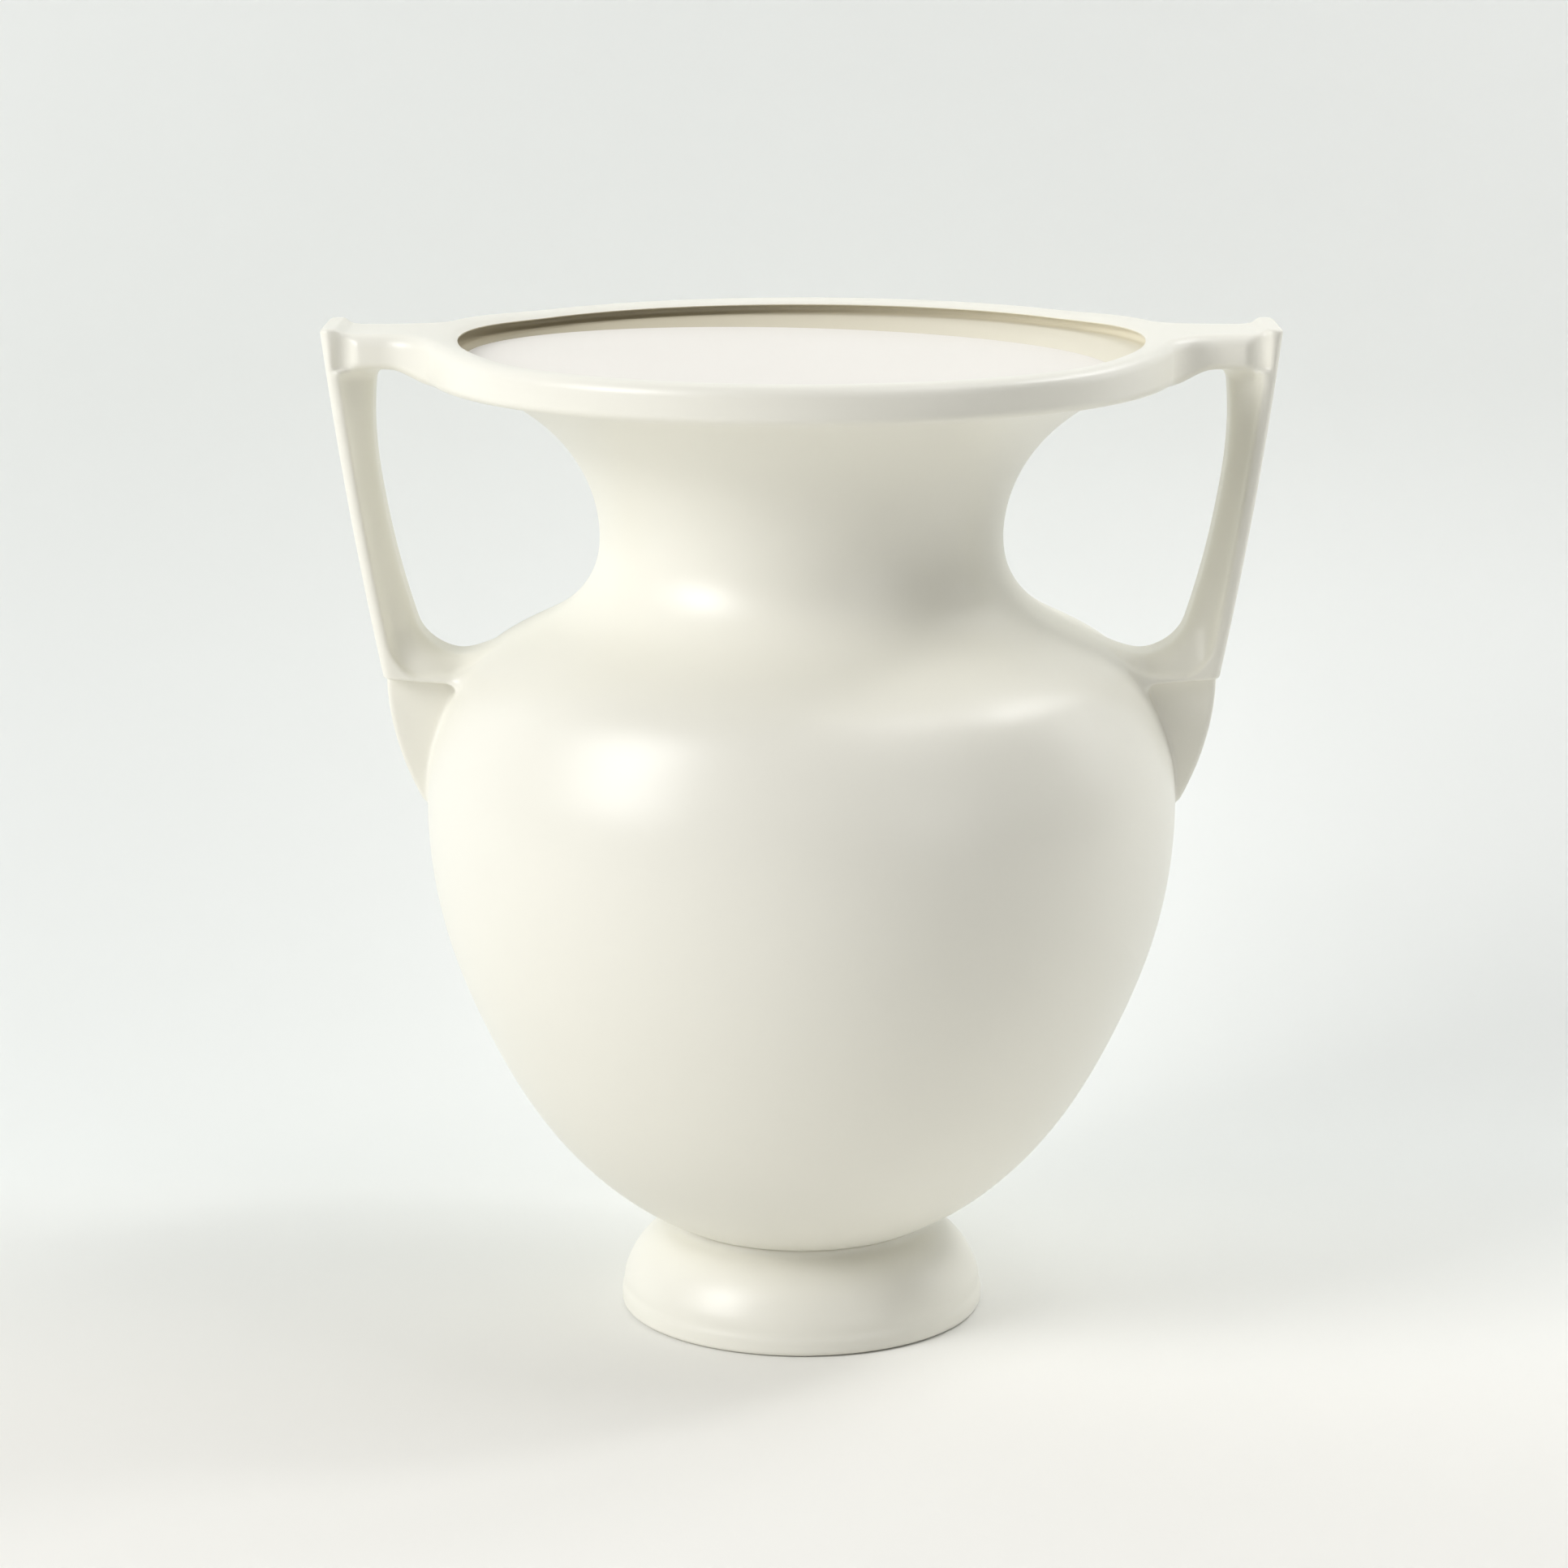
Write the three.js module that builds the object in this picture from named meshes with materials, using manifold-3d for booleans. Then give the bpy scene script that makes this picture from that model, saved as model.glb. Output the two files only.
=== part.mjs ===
// A white two-handled vase in the form of a column krater: a pedestal foot, an egg-shaped
// belly, a drawn-in neck, a wide flat rim, two angular handles that stand on the shoulder
// under plates of the rim, and a loose disc that lies in the mouth.
// Millimetres, +Z up. The origin is on the floor, in the middle of the foot.
import * as THREE from "three";
import { mergeVertices } from "three/addons/utils/BufferGeometryUtils.js";
import Module from "manifold-3d";

const wasm = await Module();
wasm.setup();

// Walls and clearances
const wall = 6.5; // thickness of the thrown wall, square to its surface
const floorThickness = 9; // clay at the bottom of the belly
const jointGap = 0.3; // slip line between a handle piece and what it is luted to
const discGap = 0.68; // play of the loose disc in its seat, measured level

// Foot
const footHeight = 31;
const footRadius = 61.4;
const waistRadius = 43.5; // where the foot meets the belly
const footBandHeight = 7; // upright band at the floor
const footDomeRise = 4; // the dome of the foot under the waist is flat over this height
const footRecess = 10; // hollow under the foot
const footRingWidth = 12; // ring that touches the floor
const footEdge = 1.4; // softened edges of the band

// Belly, shoulder and neck: sizes of the outer surface
const creaseRadius = 44.3; // lowest ring of the belly, just outside the waist
const bellyHeight = 176; // widest ring of the belly
const bellyRadius = 124.6;
const bellySeam = 150; // lower bowl to shoulder
const neckSeam = 244; // shoulder to neck
const neckHeight = 269; // narrowest ring of the neck
const neckRadius = 66.7;
const throatRadius = 97.1; // outer surface where the neck meets the rim

// Rim
const rimHeight = 330; // crest of the rounded lip
const rimDepth = 18; // from the crest down to the seam with the neck
const rimSeam = rimHeight - rimDepth;
const rimRadius = 123.5;
const lipWidth = 12;
const mouthRadius = rimRadius - lipWidth;
const lipThickness = 12.5;
const lipRound = 4; // radius of the lip's outer upper edge
const lipDrop = 1.7; // inner edge of the lip below its crest

// Seat inside the rim: a funnel that runs down from the mouth, and the disc that lies in it
const seatDrop = 5.4; // from the crest of the lip down to the upper end of the funnel
const seatInset = 0.3; // of that end, from the wall of the mouth
const seatDepth = 8;
const seatWidth = 13.7;
const seatSlope = seatWidth / seatDepth; // how far the funnel closes in per millimetre down
const discDepth = 7.9; // disc below the crest of the lip, in the middle of the mouth
const discLean = 0.0265; // radians: a loose disc lies a little askew in a funnel
const discTurn = 0.59; // radians: it leans towards the right, and away from the viewer
const discThickness = 3.2;
const discEdge = 0.6; // softened edge of the disc

// Plates that run out from the rim
const plateRise = 3; // top of a plate above the crest of the lip
const plateThickness = 11.5;
const plateHalfDepth = 18;
const plateFillet = 14; // hollow curve between the rim and the side of a plate
const riseLength = 15; // the plate climbs from the lip to its own height over this length
const plateLength = 32.5; // from the rim to the tip of the flange
const handleReach = rimRadius + plateLength; // outer face of a handle at its tip
const flangeWidth = 5; // strip that borders plate, shaft and root on the outside
const tipRise = 1.8; // flange above the plate
const grooveRadius = 4; // upright groove between plate and flange
const grooveDepth = 1.2;

// Shafts, roots and tails
const shaftWidth = 10.4; // at its narrowest, seen from the front
const shaftHeadFlare = 5; // widening towards the plate
const shaftFootFlare = 6.2; // widening towards the root
const faceBulge = 1.2; // outward bow of the outer face
const shaftHalfDepth = 11;
const shaftEdge = 4; // rounding of the inner edges of the shaft
const flangeHalfDepth = 17;
const flangeEdge = 1.2;
const rootHeight = 18.5; // from the underside of the root up to the shaft
const rootFillet = 11; // inner curve from the shaft to the shoulder
const rootRise = 42.5; // underside of the root above the widest ring of the belly
const ledgeHeight = bellyHeight + rootRise;
const rootReach = 12.7; // outer face of the root beyond the widest ring of the belly
const ledgeReach = bellyRadius + rootReach;
const ledgeHalfDepth = 18;
const ledgeThickness = 1.5;
const scoopRadius = 11; // hollow curve from the front of the shaft down to the ledge
const tailHeight = 43; // from the underside of the root down to the tip
const tailHalfDepth = 12; // under the ledge
const tipHalfDepth = 5; // at the tip
const tailEdge = 0.4; // the tail stands back this much from the outer face of the root

const ringSides = 64; // facets round the vase

// A surface of revolution about +Z from a profile of [radius, height] points that runs
// outwards along the bottom, up the outside and back along the top or the inside.
function turned(profile) {
  const points = profile.map(([radius, height]) => new THREE.Vector2(radius, height));
  return new THREE.LatheGeometry(points, ringSides).rotateX(Math.PI / 2);
}

// The same, for a ring: the profile closes on itself.
function turnedRing(profile) {
  return turned([...profile, profile[0]]);
}

// A profile moved outwards, square to its stretches, by one distance.
function grown(profile, distance) {
  return profile.map(([radius, height], i) => {
    const [r0, z0] = profile[Math.max(0, i - 1)];
    const [r1, z1] = profile[Math.min(profile.length - 1, i + 1)];
    const length = Math.hypot(r1 - r0, z1 - z0);
    return [radius + (distance * (z1 - z0)) / length, height - (distance * (r1 - r0)) / length];
  });
}

// Points between two [radius, height] corners, at shares of the way across and up.
function between([r0, z0], [r1, z1], shares) {
  return shares.map(([across, up]) => [
    THREE.MathUtils.lerp(r0, r1, across),
    THREE.MathUtils.lerp(z0, z1, up),
  ]);
}

// Outer surface: one smooth curve through the crease, the belly, the neck and the throat
const crease = [creaseRadius, footHeight];
const belly = [bellyRadius, bellyHeight];
const neckRing = [neckRadius, neckHeight];
const throat = [throatRadius, rimSeam];
const outerCurve = new THREE.SplineCurve(
  [
    crease,
    ...between(crease, belly, [
      [0.222, 0.076],
      [0.404, 0.166],
      [0.6, 0.303],
      [0.771, 0.476],
      [0.918, 0.683],
      [0.989, 0.876],
    ]),
    belly,
    ...between(belly, neckRing, [
      [0.02, 0.15],
      [0.096, 0.312],
      [0.245, 0.473],
      [0.5, 0.602],
      [0.8, 0.731],
      [0.948, 0.85],
    ]),
    neckRing,
    ...between(neckRing, throat, [
      [0.118, 0.372],
      [0.47, 0.721],
    ]),
    throat,
  ].map(([radius, height]) => new THREE.Vector2(radius, height)),
);
const outerLine = outerCurve.getPoints(400).map((point) => [point.x, point.y]);

// The radius of the outer surface at one height.
function outerRadius(height) {
  const after = outerLine.findIndex(([, z]) => z > height);
  const i = after < 0 ? outerLine.length - 2 : Math.max(0, after - 1);
  const [r0, z0] = outerLine[i];
  const [r1, z1] = outerLine[i + 1];
  return r0 + ((r1 - r0) * (height - z0)) / (z1 - z0);
}

// Points of the outer surface between two heights, as [radius, height].
function outerSurface(from, to, step) {
  const count = Math.max(2, Math.round((to - from) / step));
  return Array.from({ length: count + 1 }, (_, i) => {
    const height = THREE.MathUtils.lerp(from, to, i / count);
    return [outerRadius(height), height];
  });
}

// The inner surface: the outer one moved in by the wall, measured square to the surface.
function innerSurface(from, to, step) {
  const reach = 0.5;
  return outerSurface(from, to, step).map(([radius, height]) => {
    const low = Math.max(footHeight, height - reach);
    const high = Math.min(rimSeam, height + reach);
    const slope = (outerRadius(high) - outerRadius(low)) / (high - low);
    return [radius - wall * Math.hypot(1, slope), height];
  });
}

// Closed solids of three.js geometry, joined or cut.
function solid(geometry) {
  const bare = geometry.index ? geometry.toNonIndexed() : geometry.clone();
  bare.deleteAttribute("normal");
  bare.deleteAttribute("uv");
  const merged = mergeVertices(bare, 1e-3);
  return new wasm.Manifold(
    new wasm.Mesh({
      numProp: 3,
      vertProperties: merged.attributes.position.array,
      triVerts: new Uint32Array(merged.index.array),
    }),
  );
}

function geometryOf(manifold) {
  const mesh = manifold.getMesh();
  const geometry = new THREE.BufferGeometry();
  geometry.setAttribute("position", new THREE.BufferAttribute(mesh.vertProperties, 3));
  geometry.setIndex(new THREE.BufferAttribute(mesh.triVerts, 1));
  geometry.computeVertexNormals();
  return geometry;
}

// Materials
const glaze = new THREE.MeshStandardMaterial({ color: 0xf3f1e9, roughness: 0.32, metalness: 0 });
const bareClay = new THREE.MeshStandardMaterial({ color: 0xf5efe8, roughness: 0.6, metalness: 0 });

const vase = new THREE.Group();

function add(name, geometry, material = glaze) {
  const mesh = new THREE.Mesh(geometry, material);
  mesh.name = name;
  vase.add(mesh);
  return mesh;
}

// Foot: a domed ring on a low band, hollow underneath
const bandTop = [footRadius - 0.5 * footEdge, footBandHeight];
const waistLow = [waistRadius, footHeight - 0.5 * footDomeRise];
add(
  "foot",
  turned([
    [0, footRecess],
    [footRadius - footRingWidth - footEdge, footRecess],
    [footRadius - footRingWidth, 0],
    [footRadius - footEdge, 0],
    [footRadius, footEdge],
    [footRadius, footBandHeight - footEdge],
    bandTop,
    ...between(bandTop, waistLow, [
      [0.09, 0.25],
      [0.26, 0.52],
      [0.53, 0.755],
      [0.81, 0.92],
    ]),
    waistLow,
    [waistRadius, footHeight],
    [0, footHeight],
  ]),
);

// Lower bowl, with the floor of the vase
const bowlFloor = footHeight + floorThickness;
const bowlCurveStart = bowlFloor + 0.9 * floorThickness;
const bowlInner = innerSurface(bowlCurveStart, bellySeam, 10).reverse();
const floorEdge = bowlInner[bowlInner.length - 1];
add(
  "lower_bowl",
  turned([
    [0, footHeight],
    ...outerSurface(footHeight, bellySeam, 9),
    ...bowlInner,
    ...between([0, bowlFloor], floorEdge, [
      [0.72, 0.27],
      [0.4, 0],
    ]),
    [0, bowlFloor],
  ]),
);

// Shoulder
add(
  "shoulder",
  turnedRing([
    ...outerSurface(bellySeam, neckSeam, 7),
    ...innerSurface(bellySeam, neckSeam, 9).reverse(),
  ]),
);

// Neck
add(
  "neck",
  turnedRing([
    ...outerSurface(neckSeam, rimSeam, 6),
    ...innerSurface(neckSeam, rimSeam, 7).reverse(),
  ]),
);

// Rim: the rounded lip, with the seat for the disc inside
const lipUnderside = rimHeight - lipThickness;
const [throatInner] = innerSurface(neckHeight, rimSeam, rimSeam - neckHeight).pop();
const lipOutside = [
  throat,
  ...between(throat, [rimRadius - 0.8 * lipRound, lipUnderside], [
    [0.28, 0.62],
    [0.64, 0.93],
    [1, 1],
  ]),
  [rimRadius - 0.2 * lipRound, lipUnderside + 0.3 * lipRound],
  [rimRadius, lipUnderside + 0.85 * lipRound],
  [rimRadius, rimHeight - lipRound],
  [rimRadius - 0.3 * lipRound, rimHeight - 0.3 * lipRound],
  [rimRadius - lipRound, rimHeight],
];
const seatTop = [mouthRadius - seatInset, rimHeight - seatDrop];
const seatFoot = [seatTop[0] - seatWidth, seatTop[1] - seatDepth];
const ring = turnedRing([
  ...lipOutside,
  [mouthRadius + 1.8 * lipDrop, rimHeight - 0.1 * lipDrop],
  [mouthRadius + 0.5 * lipDrop, rimHeight - 0.4 * lipDrop],
  [mouthRadius, rimHeight - lipDrop],
  seatTop,
  seatFoot,
  [throatInner, rimSeam],
]);
add("rim", ring);

// Disc in the mouth: loose, with a bevelled edge that fits the funnel. A disc that leans in a
// funnel also lies aside of its middle, by the lean times its radius times the funnel's slope.
const discHeight = rimHeight - discDepth; // of the disc's widest circle
const discRadius = seatTop[0] - seatSlope * (seatTop[1] - discHeight) - discGap;
const discSlip = seatSlope * discLean * discRadius;
const disc = turned([
  [0, discEdge - discThickness],
  [discRadius - seatSlope * (discThickness - discEdge), discEdge - discThickness],
  [discRadius, 0],
  [discRadius - discEdge, discEdge],
  [0, discEdge],
]);
const mouthDisc = add("mouth_disc", disc, bareClay);
mouthDisc.position.set(
  -discSlip * Math.cos(discTurn),
  -discSlip * Math.sin(discTurn),
  discHeight + discLean * discSlip,
);
mouthDisc.rotateOnAxis(
  new THREE.Vector3(-Math.sin(discTurn), Math.cos(discTurn), 0),
  discLean,
);

// The vase as full bodies, a slip line wider, that the handle pieces are cut to
const wallCutter = solid(
  turned([
    [0, footHeight],
    ...grown(outerSurface(footHeight, rimSeam, 4), jointGap),
    [0, rimSeam],
  ]),
);
const rimCutter = solid(
  turned([[0, rimSeam], ...grown(lipOutside, jointGap), [0, rimHeight + jointGap]]),
);

// A flat outline in the plane of the handles, given thickness in both directions along Y.
function upright(outline, halfDepth, bevel = 0) {
  const shape = new THREE.Shape(outline.map(([x, z]) => new THREE.Vector2(x, z)));
  return solid(
    new THREE.ExtrudeGeometry(shape, {
      depth: 2 * (halfDepth - bevel),
      bevelEnabled: bevel > 0,
      bevelThickness: bevel,
      bevelSize: bevel,
      bevelOffset: -bevel,
      bevelSegments: 3,
    })
      .translate(0, 0, -(halfDepth - bevel))
      .rotateX(Math.PI / 2),
  );
}

// Heights at even steps, and the [x, z] points of an edge at these heights.
function edge(face, from, to, count) {
  return Array.from({ length: count + 1 }, (_, i) => {
    const height = THREE.MathUtils.lerp(from, to, i / count);
    return [face(height), height];
  });
}

// Faces of a handle, seen from the front, as distances from the axis at one height
const plateTop = rimHeight + plateRise;
const plateUnderside = plateTop - plateThickness;
const tipTop = plateTop + tipRise;
const shaftFoot = ledgeHeight + rootHeight;

function outerFace(height) {
  const share = (height - ledgeHeight) / (tipTop - ledgeHeight);
  const bow = 4 * faceBulge * share * (1 - share);
  return THREE.MathUtils.lerp(ledgeReach, handleReach, share) + bow;
}

function flangeFace(height) {
  return outerFace(height) - flangeWidth;
}

// The shaft is narrowest a little above its middle and widens to both ends.
function innerFace(height) {
  const narrowest = 0.63;
  const share = (height - ledgeHeight) / (plateUnderside - ledgeHeight);
  const away = share > narrowest ? (share - narrowest) / (1 - narrowest) : 1 - share / narrowest;
  const flare = share > narrowest ? shaftHeadFlare : shaftFootFlare;
  return outerFace(height) - shaftWidth - flare * away * away;
}

// Plate: what its plan and its front view have in common, cut to the lip
const filletOff = plateHalfDepth + plateFillet;
const filletX = Math.sqrt((rimRadius + plateFillet) ** 2 - filletOff ** 2);
const rimAngle = Math.atan2(filletOff, filletX); // half the angle that the plate takes up
const insideLip = rimRadius - lipRound;
const planShape = new THREE.Shape();
planShape.moveTo(insideLip * Math.cos(rimAngle), -insideLip * Math.sin(rimAngle));
planShape.lineTo(rimRadius * Math.cos(rimAngle), -rimRadius * Math.sin(rimAngle));
planShape.absarc(filletX, -filletOff, plateFillet, Math.PI - rimAngle, Math.PI / 2, true);
planShape.lineTo(handleReach, -plateHalfDepth);
planShape.lineTo(handleReach, plateHalfDepth);
planShape.absarc(filletX, filletOff, plateFillet, -Math.PI / 2, rimAngle - Math.PI, true);
planShape.lineTo(insideLip * Math.cos(rimAngle), insideLip * Math.sin(rimAngle));
const planDepth = 4 * plateThickness;
const plan = solid(
  new THREE.ExtrudeGeometry(planShape, {
    depth: planDepth,
    bevelEnabled: false,
    curveSegments: 10,
  }).translate(0, 0, plateTop - 0.5 * planDepth),
);

// The plate climbs from the lip in an S-curve: half a cosine wave
function climb(level) {
  const steps = 8;
  return Array.from({ length: steps + 1 }, (_, i) => [
    insideLip + (riseLength * i) / steps,
    level + plateRise * 0.5 * (1 - Math.cos((Math.PI * i) / steps)),
  ]);
}
const underLevel = plateUnderside - plateRise;
const plateEnd = handleReach - flangeWidth;
const plateFront = upright(
  [
    [insideLip - lipThickness, underLevel],
    ...climb(underLevel),
    ...edge(outerFace, plateUnderside, tipTop, 2),
    [plateEnd + 0.25 * flangeWidth, tipTop],
    [plateEnd, plateTop],
    ...climb(rimHeight).reverse(),
    [insideLip - lipThickness, rimHeight],
  ],
  2 * plateHalfDepth,
);
const grooveOff = plateHalfDepth + grooveRadius - grooveDepth;
const groove = new THREE.CylinderGeometry(grooveRadius, grooveRadius, planDepth, 24)
  .rotateX(Math.PI / 2)
  .translate(plateEnd - 0.5 * grooveRadius, 0, plateTop);
const plate = plan
  .intersect(plateFront)
  .subtract(rimCutter)
  .subtract(solid(groove.clone().translate(0, -grooveOff, 0)))
  .subtract(solid(groove.clone().translate(0, grooveOff, 0)));

// Shaft: a rounded upright with the flange along its outer face
const shaftSteps = 8;
const flangeTop = edge(outerFace, shaftFoot, plateUnderside, shaftSteps);
const shaft = upright(
  [...flangeTop, ...edge(innerFace, plateUnderside, shaftFoot, shaftSteps)],
  shaftHalfDepth,
  shaftEdge,
).add(
  upright(
    [...flangeTop, ...edge(flangeFace, plateUnderside, shaftFoot, shaftSteps)],
    flangeHalfDepth,
    flangeEdge,
  ),
);

// Root: the shaft turns in to the shoulder above a ledge, with a scoop on both sides
const filletCentre = innerFace(shaftFoot) - rootFillet;
const filletSteps = 8;
const filletSweep = 2; // radians, from the shaft round to the slope of the shoulder
const rootCurve = Array.from({ length: filletSteps + 1 }, (_, i) => {
  const angle = (filletSweep * i) / filletSteps;
  return [
    filletCentre + rootFillet * Math.cos(angle),
    shaftFoot - rootFillet * Math.sin(angle),
  ];
});
const rootInside = outerRadius(shaftFoot) - wall;
const flangeFoot = edge(outerFace, ledgeHeight, shaftFoot, 3);
const scoopOff = shaftHalfDepth + scoopRadius;
const scoopShape = new THREE.Shape();
scoopShape.moveTo(shaftHalfDepth, shaftFoot + rootHeight);
scoopShape.lineTo(shaftHalfDepth, ledgeHeight + ledgeThickness + scoopRadius);
scoopShape.absarc(
  scoopOff,
  ledgeHeight + ledgeThickness + scoopRadius,
  scoopRadius,
  Math.PI,
  1.5 * Math.PI,
  false,
);
scoopShape.lineTo(scoopOff, shaftFoot + rootHeight);
const scoop = new THREE.ExtrudeGeometry(scoopShape, {
  depth: handleReach,
  bevelEnabled: false,
  curveSegments: 8,
})
  .rotateX(Math.PI / 2)
  .rotateZ(Math.PI / 2);
const root = upright(
  [[rootInside, ledgeHeight], ...flangeFoot, ...rootCurve, [rootInside, shaftFoot]],
  ledgeHalfDepth,
)
  .subtract(solid(scoop))
  .subtract(solid(scoop.clone().rotateZ(Math.PI).translate(handleReach, 0, 0)))
  .add(upright([...flangeFoot, ...edge(flangeFace, shaftFoot, ledgeHeight, 3)], flangeHalfDepth))
  .subtract(wallCutter);

// Tail: a web under the root that runs out to a point on the belly and gets thinner there
const tailTop = [ledgeReach - tailEdge, ledgeHeight];
const tailTip = ledgeHeight - tailHeight;
const tailBack = outerRadius(ledgeHeight) - wall;
const tailCurve = new THREE.QuadraticBezierCurve(
  new THREE.Vector2(outerRadius(tailTip) + jointGap, tailTip),
  new THREE.Vector2(tailTop[0], 0.5 * (tailTop[1] + tailTip)),
  new THREE.Vector2(...tailTop),
);
const tailSide = new THREE.Shape([
  new THREE.Vector2(-tipHalfDepth, tailTip),
  new THREE.Vector2(tipHalfDepth, tailTip),
  new THREE.Vector2(tailHalfDepth, ledgeHeight),
  new THREE.Vector2(-tailHalfDepth, ledgeHeight),
]);
const tailWedge = new THREE.ExtrudeGeometry(tailSide, { depth: handleReach, bevelEnabled: false })
  .rotateX(Math.PI / 2)
  .rotateZ(Math.PI / 2);
const tail = upright(
  [...tailCurve.getPoints(10).map((point) => [point.x, point.y]), [tailBack, ledgeHeight]],
  ledgeHalfDepth,
)
  .intersect(solid(tailWedge))
  .subtract(wallCutter);

for (const [side, turn] of [
  ["right", 0],
  ["left", Math.PI],
]) {
  for (const [name, piece] of [
    ["handle_plate_", plate],
    ["handle_shaft_", shaft],
    ["handle_root_", root],
    ["handle_tail_", tail],
  ]) {
    add(name + side, geometryOf(piece)).rotation.z = turn;
  }
}

export default vase;
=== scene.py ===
import math

import bmesh
import bpy
import mathutils
import numpy as np
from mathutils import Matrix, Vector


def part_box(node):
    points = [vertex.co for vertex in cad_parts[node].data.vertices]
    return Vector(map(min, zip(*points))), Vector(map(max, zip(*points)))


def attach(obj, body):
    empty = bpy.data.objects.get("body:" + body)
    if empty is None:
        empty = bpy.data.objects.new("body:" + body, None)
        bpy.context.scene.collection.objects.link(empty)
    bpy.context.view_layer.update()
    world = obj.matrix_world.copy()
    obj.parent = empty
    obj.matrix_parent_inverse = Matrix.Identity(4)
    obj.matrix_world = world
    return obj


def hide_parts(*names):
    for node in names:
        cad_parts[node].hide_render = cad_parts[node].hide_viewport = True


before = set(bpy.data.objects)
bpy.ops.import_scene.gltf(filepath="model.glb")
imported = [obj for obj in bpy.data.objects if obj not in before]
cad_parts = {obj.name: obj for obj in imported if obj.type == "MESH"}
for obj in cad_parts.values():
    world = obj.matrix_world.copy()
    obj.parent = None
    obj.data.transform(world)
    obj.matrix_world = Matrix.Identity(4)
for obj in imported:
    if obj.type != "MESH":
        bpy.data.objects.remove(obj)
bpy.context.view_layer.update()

# Camera: a little above the rim, looking down at the middle of the vase, on a long lens.
# Its place comes from the ellipses of the mouth, the rim and the foot.
IMAGE_SIDE_PX = 1932
CAMERA_DISTANCE = 1.45
CAMERA_HEIGHT = 0.504
CAMERA_PITCH = math.radians(12.58)
FOCAL_PX = 5472
AXIS_PX = 987.6

camera_data = bpy.data.cameras.new("camera")
camera_data.sensor_width = 36
camera_data.lens = FOCAL_PX / IMAGE_SIDE_PX * camera_data.sensor_width
camera_data.shift_x = (IMAGE_SIDE_PX / 2 - AXIS_PX) / IMAGE_SIDE_PX
camera_data.clip_end = 50
camera = bpy.data.objects.new("camera", camera_data)
bpy.context.scene.collection.objects.link(camera)
camera.location = (0, -CAMERA_DISTANCE, CAMERA_HEIGHT)
camera.rotation_euler = (math.pi / 2 - CAMERA_PITCH, 0, 0)
bpy.context.scene.camera = camera


# Wall of the vase: belly, shoulder, neck and rim. The sections are thrown and luted edge to
# edge, smoothed, and dipped in one ivory-white satin glaze that hides their seams.
def node_box(node):
    """Lowest and highest corner of a node of the frame, in millimetres."""
    return [np.array(corner) * 1000 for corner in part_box(node)]


def share_along(nodes, links, axis, low, high):
    """The share of the way from low to high, in metres along an axis, from 0 to 1."""
    place = nodes.new("ShaderNodeTexCoord")
    axes = nodes.new("ShaderNodeSeparateXYZ")
    links.new(place.outputs["Object"], axes.inputs["Vector"])
    share = nodes.new("ShaderNodeMapRange")
    share.inputs["From Min"].default_value = low
    share.inputs["From Max"].default_value = high
    links.new(axes.outputs[axis], share.inputs["Value"])
    return share.outputs["Result"]


def glaze_material(name, colour, roughness, painted_shade_left=None):
    """Satin glaze: its colour drifts a little over broad noise, where the dip is thinner or
    thicker, and a fine bump gives the skin the faint orange peel of a melted surface. With a
    colour for the left, it turns from that one to the other across the mouth instead, as painted
    shade that darkens the left of the mouth."""
    material = bpy.data.materials.new(name)
    material.use_nodes = True
    nodes, links = material.node_tree.nodes, material.node_tree.links
    shader = nodes["Principled BSDF"]
    shader.inputs["IOR"].default_value = 1.5
    place = nodes.new("ShaderNodeTexCoord")
    broad = nodes.new("ShaderNodeTexNoise")
    broad.inputs["Scale"].default_value = 9
    broad.inputs["Detail"].default_value = 3
    links.new(place.outputs["Object"], broad.inputs["Vector"])
    drift_and_painted_shade = nodes.new("ShaderNodeValToRGB")
    start, stop = drift_and_painted_shade.color_ramp.elements
    stop.color = (*colour, 1)
    # Painted shade: a darker colour at the left that fades to the other colour across the mouth.
    if painted_shade_left:
        start.color = (*painted_shade_left, 1)
        links.new(share_along(nodes, links, "X", -0.1, 0.1), drift_and_painted_shade.inputs["Fac"])
    else:
        start.color = (*[c * (1 - COLOUR_DRIFT) for c in colour], 1)
        start.position = 0.3
        stop.position = 0.7
        links.new(broad.outputs["Fac"], drift_and_painted_shade.inputs["Fac"])
    links.new(drift_and_painted_shade.outputs["Color"], shader.inputs["Base Color"])
    gloss = nodes.new("ShaderNodeMapRange")
    gloss.inputs["To Min"].default_value = roughness - GLOSS_DRIFT
    gloss.inputs["To Max"].default_value = roughness + GLOSS_DRIFT
    links.new(broad.outputs["Fac"], gloss.inputs["Value"])
    links.new(gloss.outputs["Result"], shader.inputs["Roughness"])
    fine = nodes.new("ShaderNodeTexNoise")
    fine.inputs["Scale"].default_value = 160
    fine.inputs["Detail"].default_value = 2
    links.new(place.outputs["Object"], fine.inputs["Vector"])
    bump = nodes.new("ShaderNodeBump")
    bump.inputs["Strength"].default_value = 0.06
    bump.inputs["Distance"].default_value = 0.0004
    links.new(fine.outputs["Fac"], bump.inputs["Height"])
    links.new(bump.outputs["Normal"], shader.inputs["Normal"])
    return material


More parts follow.
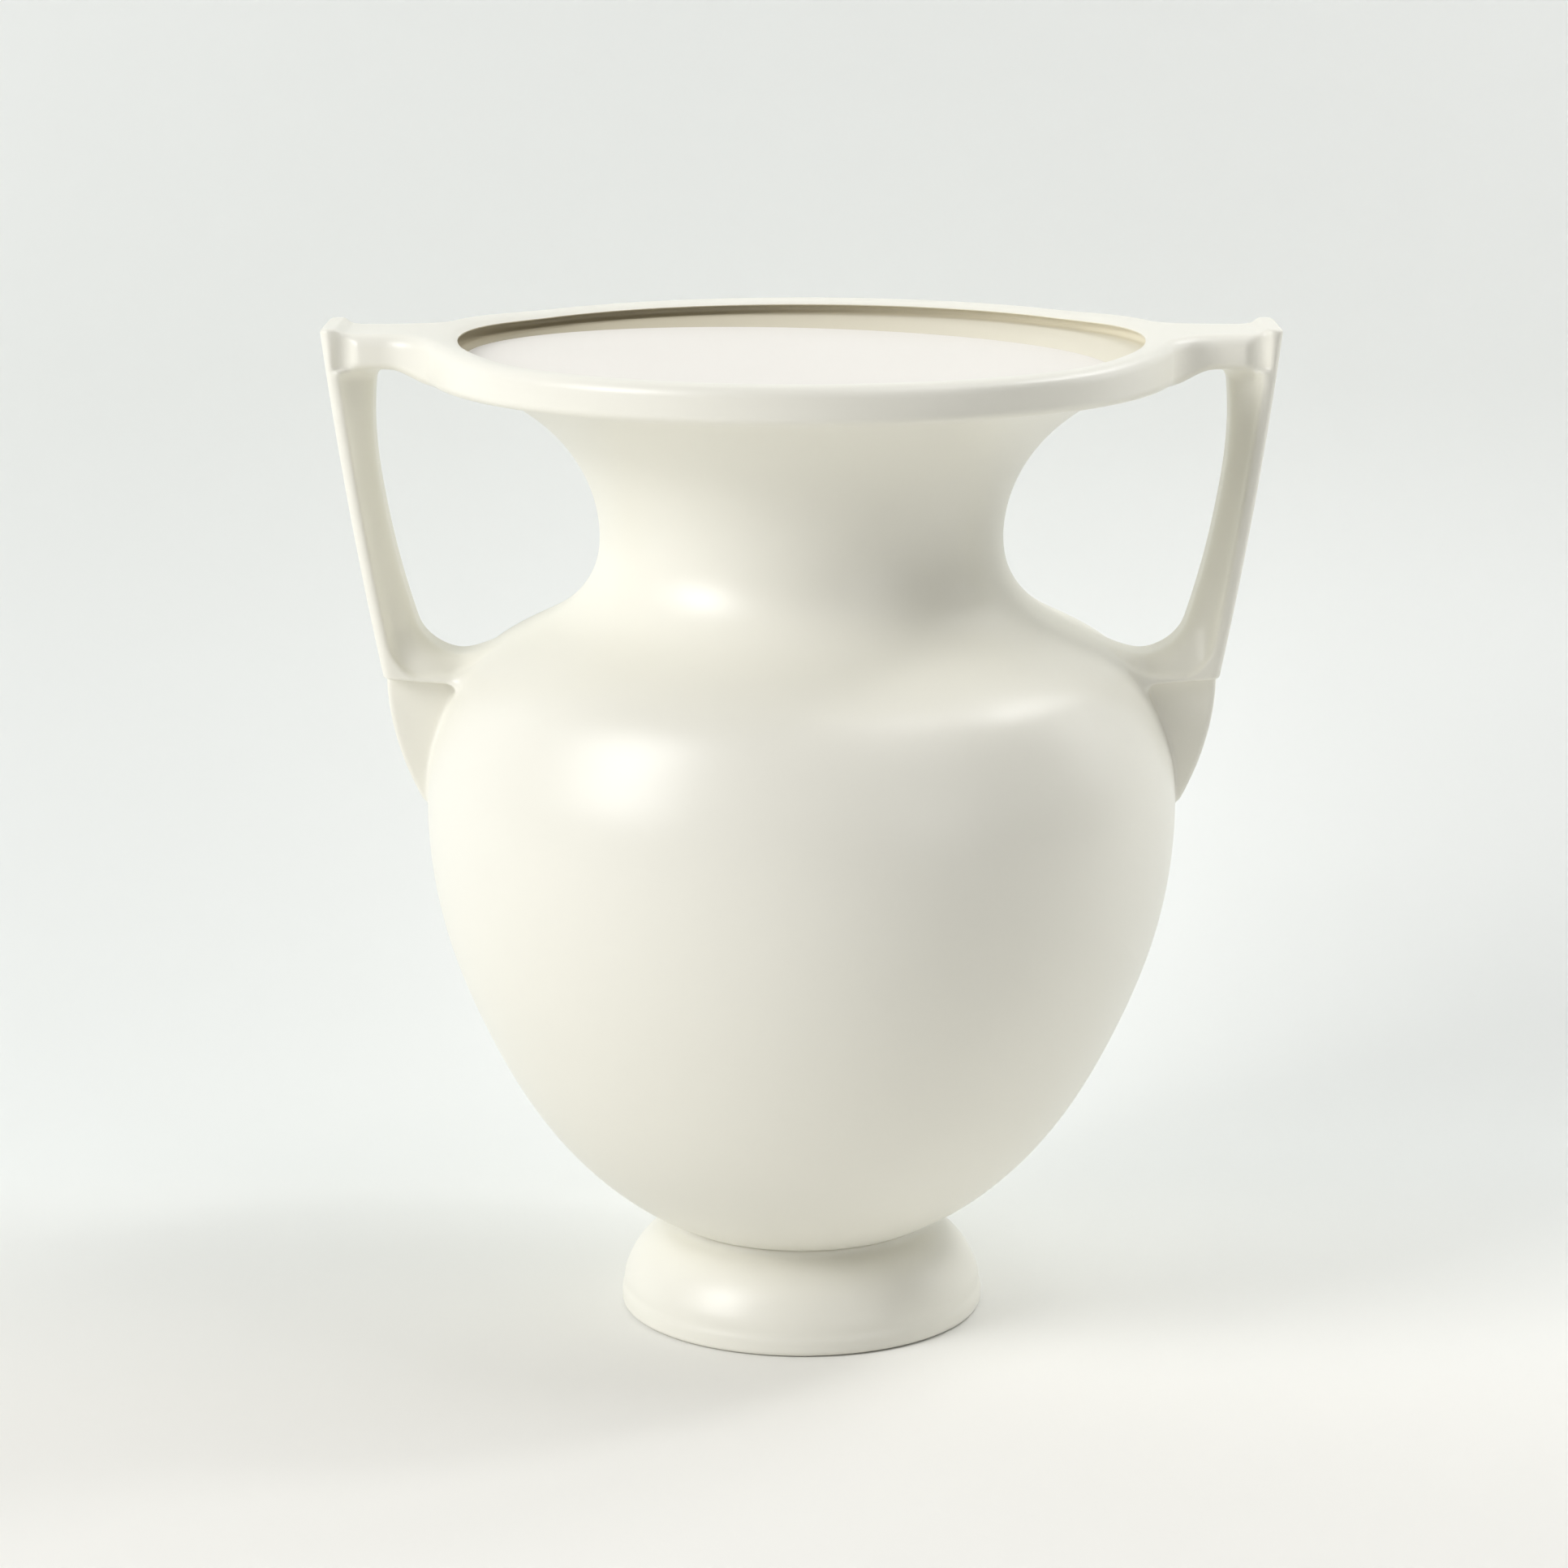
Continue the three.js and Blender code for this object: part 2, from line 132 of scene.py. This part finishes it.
def smooth_curve(points, spacing):
    """A natural cubic through a few [radius, height] points, measured along its length. Each
    stretch between two points gets at least 4 steps, none longer than the spacing."""
    points = np.asarray(points, float)
    length = np.concatenate([[0], np.cumsum(np.hypot(*np.diff(points, axis=0).T))])
    step = np.diff(length)
    count = len(points)
    system = np.eye(count)
    target = np.zeros((count, 2))
    rows = np.arange(1, count - 1)
    system[rows, rows - 1] = step[:-1]
    system[rows, rows] = 2 * (step[:-1] + step[1:])
    system[rows, rows + 1] = step[1:]
    slopes = np.diff(points, axis=0) / step[:, None]
    target[rows] = 6 * (slopes[1:] - slopes[:-1])
    bend = np.linalg.solve(system, target)
    steps = np.maximum(4, np.ceil(step / spacing)).astype(int)
    k = np.repeat(np.arange(count - 1), steps)
    share = np.concatenate([np.arange(n) / n for n in steps])
    k = np.append(k, count - 2)
    share = np.append(share, 1.0)
    h = step[k][:, None]
    a = (1 - share)[:, None] * h
    b = share[:, None] * h
    return (
        bend[k] * a**3 / (6 * h)
        + bend[k + 1] * b**3 / (6 * h)
        + (points[k] / h - bend[k] * h / 6) * a
        + (points[k + 1] / h - bend[k + 1] * h / 6) * b
    )


def arc(centre, radius, start, end, steps):
    """Points of an arc in the [radius, height] plane, between two angles in degrees."""
    angle = np.radians(np.linspace(start, end, steps + 1))
    return np.stack([centre[0] + radius * np.cos(angle), centre[1] + radius * np.sin(angle)], axis=1)


def link_mesh(name, vertices, faces, material, body):
    """A smooth mesh object at the origin, in metres, from arrays in millimetres."""
    mesh = bpy.data.meshes.new(name)
    mesh.from_pydata((vertices / 1000).tolist(), [], faces.tolist())
    mesh.materials.append(material)
    mesh.update()
    work = bmesh.new()
    work.from_mesh(mesh)
    bmesh.ops.remove_doubles(work, verts=work.verts, dist=1e-6)
    bmesh.ops.recalc_face_normals(work, faces=work.faces)
    work.to_mesh(mesh)
    work.free()
    mesh.polygons.foreach_set("use_smooth", [True] * len(mesh.polygons))
    piece = bpy.data.objects.new(name, mesh)
    bpy.context.scene.collection.objects.link(piece)
    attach(piece, body)
    return piece


def turned(name, profile, sides, material, body):
    """A surface of revolution: each [radius, height] of a profile that starts and ends on
    the axis is carried round, as radius times cosine and sine of the angle."""
    angle = np.linspace(0, 2 * np.pi, sides, endpoint=False)
    radius, height = profile[:, 0], profile[:, 1]
    x = radius[:, None] * np.cos(angle)
    y = radius[:, None] * np.sin(angle)
    z = np.broadcast_to(height[:, None], x.shape)
    vertices = np.stack([x, y, z], axis=-1).reshape(-1, 3)
    row = np.arange(len(profile) - 1)[:, None] * sides
    here = np.arange(sides)[None, :]
    after = (here + 1) % sides
    faces = np.stack([row + here, row + after, row + sides + after, row + sides + here], axis=-1)
    return link_mesh(name, vertices, faces.reshape(-1, 4), material, body)


def climb(x):
    """Rise of the rim's top towards the handles, half a cosine wave."""
    share = np.clip((np.abs(x) - CLIMB_START) / (CLIMB_END - CLIMB_START), 0, 1)
    return CLIMB * 0.5 * (1 - np.cos(np.pi * share))


def lift_rim(piece):
    """Carries the upper half of the lip up with the rise, and stretches the faces below it,
    outside down to the lower rounding and inside down to the funnel."""
    spots = np.empty(len(piece.data.vertices) * 3)
    piece.data.vertices.foreach_get("co", spots)
    spots = spots.reshape(-1, 3) * 1000
    inside = np.hypot(spots[:, 0], spots[:, 1]) < INNER_EDGE
    low = np.where(inside, CREST - FUNNEL_DROP, LIP_UNDERSIDE + UNDER_ROUND)
    weight = np.clip((spots[:, 2] - low) / (CREST - LIP_ROUND - low), 0, 1)
    spots[:, 2] += weight * climb(spots[:, 0])
    piece.data.vertices.foreach_set("co", spots.ravel() / 1000)
    piece.data.update()


COLOUR_DRIFT = 0.015
GLOSS_DRIFT = 0.03
CLIMB = 3
CLIMB_START = 85
CLIMB_END = 134
CREST = node_box("rim")[1][2]
RIM_RADIUS = node_box("rim")[1][0] - 0.1
LIP_UNDERSIDE = CREST - 12.5
LIP_ROUND = 4.1
UNDER_ROUND = 3.3
INNER_EDGE = 118
FUNNEL_DROP = 5.4
CLAY_EDGE = CREST - 1.7
CLAY_DEPTH = 60
BOTTOM = 31.2
BELLY = [
    (43.8, BOTTOM), (50.5, 34.6), (62.0, 42), (76.7, 55), (92.5, 75), (106.2, 100), (118.0, 130),
    (123.9, 160), (124.6, 176), (123.4, 190), (119.0, 205), (111.4, 220), (96.0, 232), (76.6, 243),
    (68.2, 255), (66.9, 270), (71.2, 285), (81.7, 300), (97.4, 312), (105.5, 316), (112, LIP_UNDERSIDE),
]
INSIDE = [
    (93, 313.2), (89, 310), (81.5, 303.5), (73, 295), (64, 284), (60.2, 270), (62.5, 256), (70, 244),
    (86, 232), (103, 219), (112.3, 205), (117, 190), (118.2, 176), (117.4, 160), (111.6, 130),
    (99.5, 100), (85, 75), (66, 54), (40, 42), (0, 40),
]
outside = smooth_curve(BELLY, 2.5)
lip = np.vstack([
    arc((RIM_RADIUS - UNDER_ROUND, LIP_UNDERSIDE + UNDER_ROUND), UNDER_ROUND, -90, 0, 8),
    arc((RIM_RADIUS - LIP_ROUND, CREST - LIP_ROUND), LIP_ROUND, 0, 90, 10),
    smooth_curve([(117, CREST), (115, CREST - 0.25), (113.4, CREST - 0.8), (112.3, CREST - 1.6)], 0.5),
    smooth_curve([
        (112.2, CREST - 1.9), (114.6, CREST - 2.2), (116.8, CREST - 2.9), (117.4, CREST - 3.8),
        (116.2, CREST - 4.7), (113.6, CREST - 5.0), (111.4, CREST - FUNNEL_DROP),
    ], 0.5),
    smooth_curve([
        (111.0, CREST - 5.6), (107.4, CREST - 7.6), (103.4, CREST - 9.9), (97.5, CREST - 13.4),
    ], 1),
])
wall_profile = np.vstack([
    [(0, BOTTOM), (20, BOTTOM)],
    outside,
    lip,
    smooth_curve(INSIDE, 5),
])
glaze = glaze_material("ivory_glaze", (0.89, 0.874, 0.79), 0.35)
wall = turned("wall_skin", wall_profile, 288, glaze, "vase")
# Bare clay inside the mouth, below the lip: a tan of its own, with painted shade that darkens it
# towards the left, where the inner wall faces away from the light.
clay_and_painted_shade = glaze_material("clay_and_painted_shade", (0.84, 0.8, 0.67), 0.6, painted_shade_left=(0.48, 0.43, 0.31))
wall.data.materials.append(clay_and_painted_shade)
for face in wall.data.polygons:
    inwards = face.normal.x * face.center.x + face.normal.y * face.center.y < 0
    below_edge = CREST - CLAY_DEPTH < face.center.z * 1000 < CLAY_EDGE
    face.material_index = int(inwards and below_edge)
lift_rim(wall)
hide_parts("lower_bowl", "shoulder", "neck", "rim")

# Foot: a domed ring on a low band, thrown apart and luted to the belly at a crisp crease.
# It is turned hollow underneath, and the same glaze covers it down to where it stands.
FOOT = [
    (48.6, 1.2), (50.5, 0.1), (55, 0.0), (59.4, 0.1), (61.0, 1.0), (61.3, 3), (61.2, 5.6), (60.7, 7.2),
    (60.5, 9.5), (59.2, 13.8), (56.2, 19.3), (51.6, 24.2), (46.9, 27.4), (44.2, 29.2), (43.2, 30.9),
]
FOOT_HOLLOW = [(0, 10), (30, 10), (45.5, 9.6)]
FOOT_TOP = [(38, BOTTOM - 0.1), (0, BOTTOM - 0.1)]
foot_profile = np.vstack([FOOT_HOLLOW, smooth_curve(FOOT, 0.8), FOOT_TOP])
foot_profile[:, 1] = np.maximum(foot_profile[:, 1], 0)
foot = turned("foot_skin", foot_profile, 192, glaze, "vase")
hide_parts("foot")


# Handles: plate, shaft, root and tail are pressed apart, luted to the rim and the shoulder,
# and smoothed with slip, so they flow into each other and into the wall with soft hollows.
# Such a skin has no single grid, so it is the zero level of a blend of simple distances.
def round_join(a, b, radius):
    """Union of two distances with a hollow fillet: inside the band where both are below the
    radius, the radius less the length of what is missing in each."""
    missing = np.hypot(np.maximum(radius - a, 0), np.maximum(radius - b, 0))
    return np.maximum(radius, np.minimum(a, b)) - missing


def round_edge(a, b, radius):
    """What two distances have in common, with a rounded outer edge: the mirror image of the
    hollow fillet."""
    return -round_join(-a, -b, radius)


def level_surface(field, low, high, step):
    """Surface nets. Each cell of a grid that the zero level of the field crosses gets a
    point, at the mean of the crossings on its edges, and each crossed grid edge gets the
    quad of its four cells. The points are then drawn onto the level along the slope."""
    axes = [np.arange(a, b + step, step) for a, b in zip(low, high)]
    grid = np.meshgrid(*axes, indexing="ij")
    value = field(*grid)
    inside = value < 0
    cells = tuple(n - 1 for n in value.shape)
    total = np.zeros((*cells, 3))
    hits = np.zeros(cells)
    crossed = []
    for axis in range(3):
        first = tuple(slice(0, -1) if k == axis else slice(None) for k in range(3))
        second = tuple(slice(1, None) if k == axis else slice(None) for k in range(3))
        cut = inside[first] != inside[second]
        crossed.append(cut)
        share = np.where(cut, value[first] / np.where(cut, value[first] - value[second], 1), 0)
        spot = np.stack([g[first] for g in grid], axis=-1)
        spot[..., axis] += share * step
        spot[~cut] = 0
        others = [k for k in range(3) if k != axis]
        for i in range(2):
            for j in range(2):
                window = [slice(None)] * 3
                window[others[0]] = slice(i, i + cells[others[0]])
                window[others[1]] = slice(j, j + cells[others[1]])
                total += spot[tuple(window)]
                hits += cut[tuple(window)]
    used = hits > 0
    points = total[used] / hits[used][:, None]
    number = np.full(cells, -1)
    number[used] = np.arange(len(points))
    quads = []
    for axis in range(3):
        others = [k for k in range(3) if k != axis]
        where = np.argwhere(crossed[axis])
        keep = np.all([(where[:, k] > 0) & (where[:, k] < cells[k]) for k in others], axis=0)
        where = where[keep]
        corners = []
        for i, j in ((1, 1), (0, 1), (0, 0), (1, 0)):
            cell = where.copy()
            cell[:, others[0]] -= i
            cell[:, others[1]] -= j
            corners.append(number[tuple(cell.T)])
        quads.append(np.stack(corners, axis=1))
    reach = 0.02
    for _ in range(3):
        here = field(*points.T)
        slope = np.stack(
            [
                (field(*(points + offset).T) - field(*(points - offset).T)) / (2 * reach)
                for offset in np.eye(3) * reach
            ],
            axis=1,
        )
        steep = np.maximum((slope**2).sum(axis=1), 0.2)
        points -= np.clip(here / steep, -step, step)[:, None] * slope
    return points, np.vstack(quads)


TIP_REACH, _, TIP_TOP = node_box("handle_plate_right")[1]
LEDGE = node_box("handle_root_right")[0][2]
TAIL_REACH = node_box("handle_tail_right")[1][0]
TAIL_TIP = node_box("handle_tail_right")[0][2]
TAIL_TIP_PROUD = 1.3
TAIL_TIP_HALF_DEPTH = 5
TAIL_FLARE = 7
TAIL_ROUND = 1.5
PLATE_UNDERSIDE = CREST - 8.5
PLATE_HALF_DEPTH = 18
PLATE_FILLET = 14
PLATE_EXTRA_ROUND = 0.6
RISE_START = RIM_RADIUS - 4
LEDGE_REACH = TAIL_REACH + 0.4
LEDGE_STEP = 1.2
LEDGE_SLOPE = 1
LEDGE_INSIDE = 108
LEDGE_COSINE = 0.7
LEDGE_ROUND = 0.6
LEDGE_TILT = 0.08
LEDGE_TILT_START = 115
FACE_BOW = 1.2
FLANGE_WIDTH = 4.2
FLANGE_HEAD = 5.6
FLANGE_ROUND = 3
EDGE_ROUND = 1.2
GROOVE_INSET = 7.8
GROOVE_FRONT = 2.6
GROOVE_RADIUS = 4.6
SHAFT_WIDTH = 10.4
HEAD_FLARE = 5
FOOT_FLARE = 6.2
NARROWEST = 0.63
WEB_HALF_DEPTH = 11
WEB_ROUND = 7
BAR_ROUND = 5
ROOT_TOP = 226
OUTER_COSINE = 0.985
INNER_COSINE = 0.97
TAIL_COSINE = 0.93
ROOT_FILLET = 11
LEDGE_FILLET = 3
FLANGE_FILLET = 8
JOINT_FILLET = 5
SHOULDER_LIMIT = 40
RIM_WALL = 7.2
RIM_CLAY_EDGE = 5.5
SKIN_PROUD = 0.02
SKIN_SUNK = 0.06
SKIN_FADE = 11
SKIN_END = 16


def body_distance(rho, z):
    """Distance to belly, shoulder and neck: the difference in radius, times the cosine of
    the slope."""
    radius = np.interp(z, outside[:, 1], outside[:, 0])
    slope = np.interp(z, outside[:, 1], np.gradient(outside[:, 0], outside[:, 1]))
    return (rho - radius) / np.hypot(1, slope)


def lip_distance(rho, z):
    """Distance to the rounded lip, taken as a full round plate."""
    section = round_edge(rho - RIM_RADIUS, z - CREST, LIP_ROUND)
    return round_edge(section, LIP_UNDERSIDE - z, UNDER_ROUND)


def handle_distance(x, y, z):
    """Distance to the right handle with the wall around it, square on the outside. Each part
    is what a few faces have in common, and hollow fillets join the parts. The skin lies a hair
    over the wall next to the handle and sinks under it further away."""
    y = np.abs(y)
    rho = np.hypot(x, y)
    up = (z - LEDGE) / (TIP_TOP - LEDGE)
    outer = LEDGE_REACH + (TIP_REACH - LEDGE_REACH) * up + 4 * FACE_BOW * up * (1 - up)
    out = (x - outer) * OUTER_COSINE
    share = (z - LEDGE) / (PLATE_UNDERSIDE - LEDGE)
    above = np.clip((share - NARROWEST) / (1 - NARROWEST), 0, 1)
    below = np.clip(1 - share / NARROWEST, 0, 1)
    inner = outer - SHAFT_WIDTH - HEAD_FLARE * above**2 - FOOT_FLARE * below**2
    inwards = (inner - x) * INNER_COSINE

    head = np.clip((z - PLATE_UNDERSIDE + 3) / 6, 0, 1)
    border = FLANGE_WIDTH + (FLANGE_HEAD - FLANGE_WIDTH) * head * head * (3 - 2 * head)
    flange = round_edge(out, y - PLATE_HALF_DEPTH, FLANGE_ROUND)
    flange = round_edge(flange, outer - border - x, EDGE_ROUND)
    flange = round_edge(flange, z - TIP_TOP, EDGE_ROUND)
    end = out + border
    web = np.maximum(round_edge(inwards, y - WEB_HALF_DEPTH, WEB_ROUND), end)
    web = np.maximum(web, z - PLATE_UNDERSIDE - 4)
    bar = np.maximum(round_edge(y - WEB_HALF_DEPTH, z - ROOT_TOP, BAR_ROUND), end)
    slope = LEDGE_SLOPE * np.clip((x - LEDGE_INSIDE) / (LEDGE_REACH - LEDGE_INSIDE), 0, 1)
    ledge_top = LEDGE + LEDGE_STEP + slope * (PLATE_HALF_DEPTH - np.maximum(y, WEB_HALF_DEPTH))
    ledge = round_edge((z - ledge_top) * LEDGE_COSINE, y - PLATE_HALF_DEPTH, LEDGE_ROUND)
    ledge = np.maximum(ledge, end)
    upright = round_join(round_join(web, bar, ROOT_FILLET), ledge, LEDGE_FILLET)
    upright = round_join(upright, flange, FLANGE_FILLET)
    upright = np.maximum(upright, round_edge(out, y - PLATE_HALF_DEPTH, FLANGE_ROUND))
    ledge_under = LEDGE - LEDGE_ROUND + LEDGE_TILT * (x - LEDGE_TILT_START)
    upright = round_edge(upright, ledge_under - z, LEDGE_ROUND)

    rise = 0.5 * (1 - np.cos(np.pi * np.clip((x - RISE_START) / (CLIMB_END - RISE_START), 0, 1)))
    plan = round_join(rho - RIM_RADIUS, y - PLATE_HALF_DEPTH, PLATE_FILLET)
    plate = np.maximum(plan, end)
    plate = round_edge(plate, z - CREST - climb(x), LIP_ROUND + PLATE_EXTRA_ROUND * rise)
    underside = LIP_UNDERSIDE + (PLATE_UNDERSIDE - LIP_UNDERSIDE) * rise
    plate = round_edge(plate, underside - z, UNDER_ROUND)

    fall = np.clip((z - TAIL_TIP) / (LEDGE - TAIL_TIP), -1, 1)
    tip = np.interp(TAIL_TIP, outside[:, 1], outside[:, 0]) + TAIL_TIP_PROUD
    tail_face = TAIL_REACH - (TAIL_REACH - tip) * (1 - fall) ** 2
    tail_side = y - TAIL_TIP_HALF_DEPTH - TAIL_FLARE * fall
    tail = round_edge((x - tail_face) * TAIL_COSINE, tail_side, TAIL_ROUND)
    tail = np.maximum(tail, z - LEDGE - 1)
    tail = round_edge(tail, TAIL_TIP - z, 1)

    shoulder = np.maximum(body_distance(rho, z), z - CREST + SHOULDER_LIMIT)
    joined_tail = round_join(tail, shoulder, TAIL_ROUND)
    handle = np.minimum(round_join(upright, shoulder, JOINT_FILLET), joined_tail)
    handle = round_join(handle, plate, JOINT_FILLET)
    groove = np.hypot(x - TIP_REACH + GROOVE_INSET, y - PLATE_HALF_DEPTH - GROOVE_FRONT)
    groove = np.maximum(groove - GROOVE_RADIUS, PLATE_UNDERSIDE - z)
    handle = round_edge(handle, -groove, EDGE_ROUND)

    bare_plate = np.maximum(y - PLATE_HALF_DEPTH, RISE_START - x)
    bare_plate = np.maximum(bare_plate, LIP_UNDERSIDE - 10 - z)
    away = np.minimum(np.minimum(upright, tail), bare_plate)
    fade = np.clip((away - SKIN_FADE) / 4, 0, 1)
    crest_fade = np.clip((RIM_RADIUS - RIM_CLAY_EDGE - rho) / 1.2, 0, 1) * (z > CREST - 6)
    sink = np.maximum(fade, crest_fade)
    handle = handle - SKIN_PROUD + (SKIN_PROUD + SKIN_SUNK) * sink * sink * (3 - 2 * sink)
    wall_inside = np.minimum(body_distance(rho, z), lip_distance(rho, z)) + 1.5
    past_end = away - SKIN_END
    mouth = np.where(z > CREST - 30, RIM_RADIUS - RIM_WALL - rho, past_end)
    return np.maximum(np.maximum(handle, -wall_inside), np.maximum(past_end, mouth))


HANDLE_LOW = (84, -36, 166)
HANDLE_HIGH = (160, 36, 339)
points, quads = level_surface(handle_distance, HANDLE_LOW, HANDLE_HIGH, 0.8)
for side, turn in (("right", 1), ("left", -1)):
    skin = link_mesh(f"handle_skin_{side}", points * (turn, turn, 1), quads, glaze, "vase")
    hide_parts(*[f"handle_{piece}_{side}" for piece in ("plate", "shaft", "root", "tail")])

# Disc in the mouth: a flat disc of bare warm-white clay with a bevelled edge. It lies loose in
# the funnel of the mouth, a little askew, lower at the right and away from the viewer, and
# aside of the middle by the lean times its radius times the slope of the funnel.
DISC_RADIUS = 106.2
DISC_HEIGHT = CREST - 7.9
DISC_LEAN = 0.0265
DISC_TURN = 0.59
FUNNEL_SLOPE = 1.7125
DISC_UNDERSIDE = -2.6
DISC_TOP = 0.6
disc_edge = [(DISC_RADIUS, 0), (DISC_RADIUS - 0.2, 0.35), (DISC_RADIUS - 0.8, DISC_TOP)]
disc_profile = np.vstack([
    [(0, DISC_UNDERSIDE), (DISC_RADIUS + DISC_UNDERSIDE * FUNNEL_SLOPE, DISC_UNDERSIDE)],
    smooth_curve(disc_edge, 0.2),
    [(60, DISC_TOP), (0, DISC_TOP)],
])
bisque = glaze_material("bisque", (0.87, 0.84, 0.79), 0.6)
disc = turned("disc_skin", disc_profile, 192, bisque, "disc")
slip = FUNNEL_SLOPE * DISC_LEAN * DISC_RADIUS
lean_axis = (-math.sin(DISC_TURN), math.cos(DISC_TURN), 0)
disc_place = np.array([
    -slip * math.cos(DISC_TURN), -slip * math.sin(DISC_TURN), DISC_HEIGHT + DISC_LEAN * slip,
])
lean = mathutils.Matrix.Rotation(DISC_LEAN, 4, lean_axis)
disc.data.transform(mathutils.Matrix.Translation(disc_place / 1000) @ lean)
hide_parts("mouth_disc")

# Floor and backdrop: one pale sweep, a warm white in front that turns cooler behind the vase,
# where painted shade makes it darker at the left and painted light makes it lighter at the right.
# The camera sees through it from behind and far away, out to the white world.
floor_material = bpy.data.materials.new("floor")
floor_material.use_nodes = True
floor_nodes, floor_links = floor_material.node_tree.nodes, floor_material.node_tree.links
floor_shader = floor_nodes["Principled BSDF"]
floor_shader.inputs["Roughness"].default_value = 0.9
# Painted shade and light: behind the vase the sweep is darker at the left and lighter at the right.
painted_side_shade = floor_nodes.new("ShaderNodeValToRGB")
painted_side_shade.color_ramp.elements[0].color = (0.826, 0.845, 0.83, 1)
painted_side_shade.color_ramp.elements[1].color = (0.895, 0.912, 0.898, 1)
floor_links.new(share_along(floor_nodes, floor_links, "X", -0.3, 0.3), painted_side_shade.inputs["Fac"])
warm_to_cool = floor_nodes.new("ShaderNodeMixRGB")
warm_to_cool.inputs["Color1"].default_value = (0.88, 0.87, 0.835, 1)
back_share = share_along(floor_nodes, floor_links, "Y", -0.1, 0.15)
floor_links.new(back_share, warm_to_cool.inputs["Fac"])
floor_links.new(painted_side_shade.outputs["Color"], warm_to_cool.inputs["Color2"])
floor_links.new(warm_to_cool.outputs["Color"], floor_shader.inputs["Base Color"])
floor_place = floor_nodes.new("ShaderNodeTexCoord")
reach = floor_nodes.new("ShaderNodeVectorMath")
reach.operation = "LENGTH"
floor_links.new(floor_place.outputs["Object"], reach.inputs[0])
far = floor_nodes.new("ShaderNodeMapRange")
far.inputs["From Min"].default_value = 0.75
far.inputs["From Max"].default_value = 1.2
floor_links.new(reach.outputs["Value"], far.inputs["Value"])
side = floor_nodes.new("ShaderNodeNewGeometry")
far_or_behind = floor_nodes.new("ShaderNodeMath")
far_or_behind.operation = "MAXIMUM"
floor_links.new(far.outputs["Result"], far_or_behind.inputs[0])
floor_links.new(side.outputs["Backfacing"], far_or_behind.inputs[1])
ray = floor_nodes.new("ShaderNodeLightPath")
cleared = floor_nodes.new("ShaderNodeMath")
cleared.operation = "MULTIPLY"
floor_links.new(far_or_behind.outputs["Value"], cleared.inputs[0])
floor_links.new(ray.outputs["Is Camera Ray"], cleared.inputs[1])
clear = floor_nodes.new("ShaderNodeBsdfTransparent")
sweep_surface = floor_nodes.new("ShaderNodeMixShader")
floor_links.new(cleared.outputs["Value"], sweep_surface.inputs["Fac"])
floor_links.new(floor_shader.outputs["BSDF"], sweep_surface.inputs[1])
floor_links.new(clear.outputs["BSDF"], sweep_surface.inputs[2])
floor_links.new(sweep_surface.outputs["Shader"], floor_nodes["Material Output"].inputs["Surface"])
SWEEP_REACH = 4.0
CURVE_START = 0.18
CURVE_RADIUS = 0.26
curve = np.linspace(0.1, np.pi / 2, 16)
curve_y = CURVE_START + CURVE_RADIUS * np.sin(curve)
curve_z = CURVE_RADIUS - CURVE_RADIUS * np.cos(curve)
sweep_y = [-SWEEP_REACH, CURVE_START, *curve_y, CURVE_START + CURVE_RADIUS]
sweep_z = [0, 0, *curve_z, SWEEP_REACH]
sweep = np.array([(x, y, z) for x in (-SWEEP_REACH, SWEEP_REACH) for y, z in zip(sweep_y, sweep_z)])
count = len(sweep_y)
sweep_faces = [(i, count + i, count + i + 1, i + 1) for i in range(count - 1)]
sweep_mesh = bpy.data.meshes.new("sweep")
sweep_mesh.from_pydata(sweep.tolist(), [], sweep_faces)
sweep_mesh.materials.append(floor_material)
sweep_mesh.polygons.foreach_set("use_smooth", [True] * len(sweep_mesh.polygons))
stage = bpy.data.objects.new("sweep", sweep_mesh)
bpy.context.scene.collection.objects.link(stage)


# Light: a tall window from the left, a little in front; a smaller one from the right, behind;
# and weak soft light from above and from the front. The world is seen, but gives no light.
VASE_MIDDLE = mathutils.Vector((0, 0, 0.18))


def soft_lamp(name, azimuth, elevation, distance, side, power):
    """A square lamp that looks at the middle of the vase. Azimuth is counted in degrees from
    the viewer's side towards the right."""
    data = bpy.data.lights.new(name, "AREA")
    data.shape = "RECTANGLE"
    data.size = side
    data.size_y = side
    data.energy = power
    lamp = bpy.data.objects.new(name, data)
    bpy.context.scene.collection.objects.link(lamp)
    turn, up = math.radians(azimuth), math.radians(elevation)
    level = math.cos(up)
    way = mathutils.Vector((math.sin(turn) * level, -math.cos(turn) * level, math.sin(up)))
    lamp.location = VASE_MIDDLE + way * distance
    lamp.rotation_euler = way.to_track_quat("Z", "Y").to_euler()


soft_lamp("window_left", -55, 36, 2.2, 0.8, 13.2)
soft_lamp("window_left_low", -55, 22, 2.2, 0.8, 12.9)
soft_lamp("window_side_low", -70, 22, 2.2, 0.8, 5.61)
soft_lamp("window_side", -70, 36, 2.2, 0.8, 3.15)
soft_lamp("front_high", 40, 45, 2.2, 1, 3.6)
soft_lamp("front_low", 40, 10, 2.2, 1, 4.1)
soft_lamp("top_right", 70, 68, 2.2, 0.8, 7.8)
soft_lamp("window_right_low", 106, 20, 1.39, 0.505, 2.1)
soft_lamp("back_right", 120, 42, 0.969, 0.264, 1.31)
soft_lamp("window_right", 101, 48, 2.2, 0.3, 6.5)

world = bpy.data.worlds.new("studio")
bpy.context.scene.world = world
world.use_nodes = True
world_nodes, world_links = world.node_tree.nodes, world.node_tree.links
world_nodes["Background"].inputs["Color"].default_value = (0.83, 0.85, 0.835, 1)
world_ray = world_nodes.new("ShaderNodeLightPath")
world_links.new(world_ray.outputs["Is Camera Ray"], world_nodes["Background"].inputs["Strength"])

bpy.context.scene.view_settings.view_transform = "Standard"
